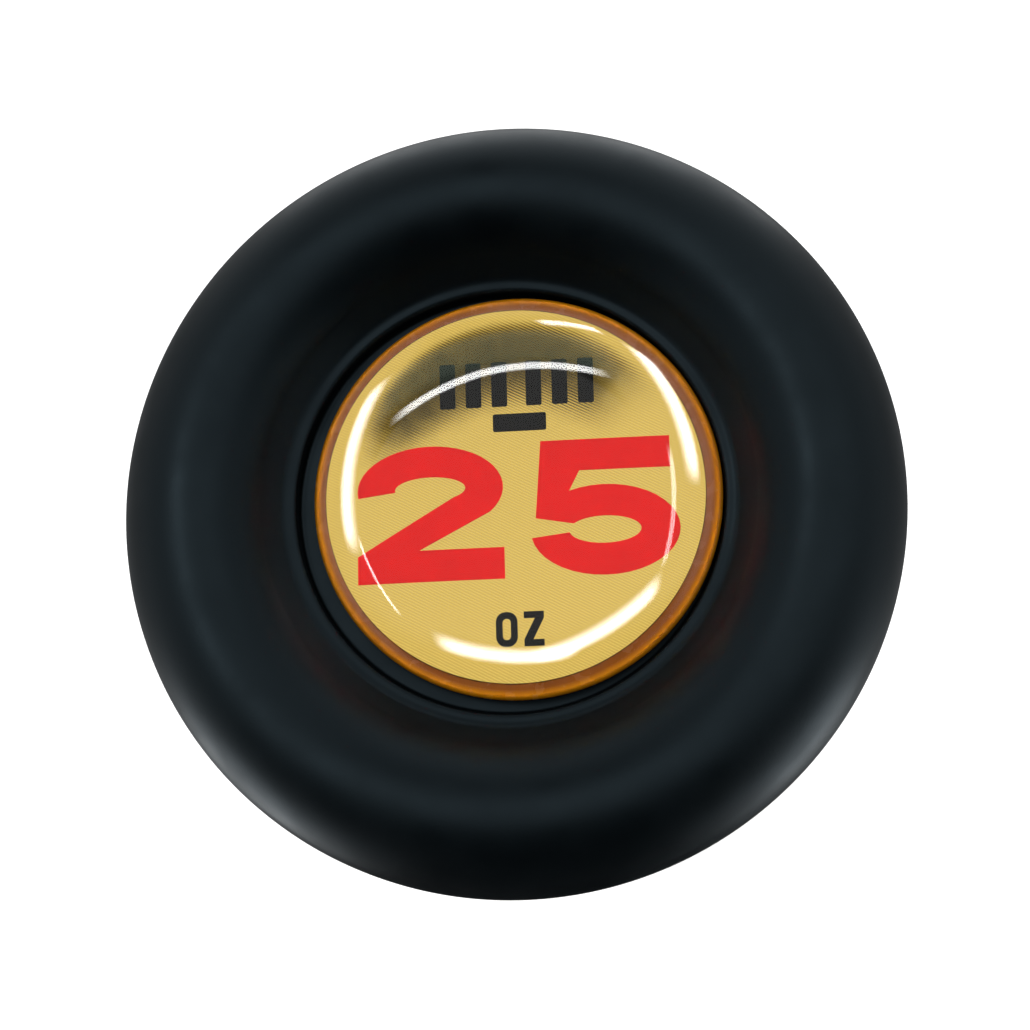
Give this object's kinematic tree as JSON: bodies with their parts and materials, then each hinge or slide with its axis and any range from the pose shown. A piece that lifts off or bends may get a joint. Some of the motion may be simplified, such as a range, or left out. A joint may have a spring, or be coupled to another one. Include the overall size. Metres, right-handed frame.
{
  "type": "swing training stick",
  "caption": "Slim-barrel bat-type swing training stick with a round rubber knob, a domed weight label set in the knob's end, a wrapped grip and an end-loaded barrel.",
  "frame": {"origin": "centre of the end cap's flat face, which the stick stands on", "axes": "+Z along the stick from the end cap to the knob; +Y is the up direction of the print on the knob's label"},
  "size_m": [0.05, 0.05, 0.864],
  "materials": {
    "knob_rubber": "satin black moulded urethane rubber",
    "cap_rubber": "matt black moulded rubber",
    "pad_rubber": "plain cut rubber",
    "collar_rubber": "satin black rubber",
    "adhesive_foam": "double-sided foam adhesive",
    "amber_backing": "amber resin edge and backing",
    "gold_foil": "gold metallised foil with fine hairlines",
    "clear_resin": "clear domed resin",
    "steel": "zinc-plated steel",
    "bare_aluminium": "machined aluminium",
    "painted_tube": "black painted aluminium tube",
    "grip_wrap": "black perforated synthetic leather wrap",
    "finishing_tape": "black vinyl tape",
    "sleeve_nylon": "moulded nylon",
    "gold_band": "gold decal film",
    "red_band": "red decal film"
  },
  "bodies": {
    "root": {"knob": "knob_rubber", "knob_washer": "steel", "knob_screw": "steel", "butt_plug": "bare_aluminium", "label_pad": "adhesive_foam", "label_backing": "amber_backing", "label_foil": "gold_foil", "label_dome": "clear_resin", "handle_tube": "painted_tube", "grip_wrap": "grip_wrap", "grip_end_tape": "finishing_tape", "joint_sleeve": "sleeve_nylon", "joint_collar": "collar_rubber", "barrel_tube": "painted_tube", "barrel_band_lower": "gold_band", "barrel_band_upper": "gold_band", "barrel_band_red": "red_band", "end_cap": "cap_rubber", "load_pad_lower": "pad_rubber", "load_weight": "steel", "load_pad_upper": "pad_rubber", "load_stop_ring": "bare_aluminium"}
  },
  "joints": []
}
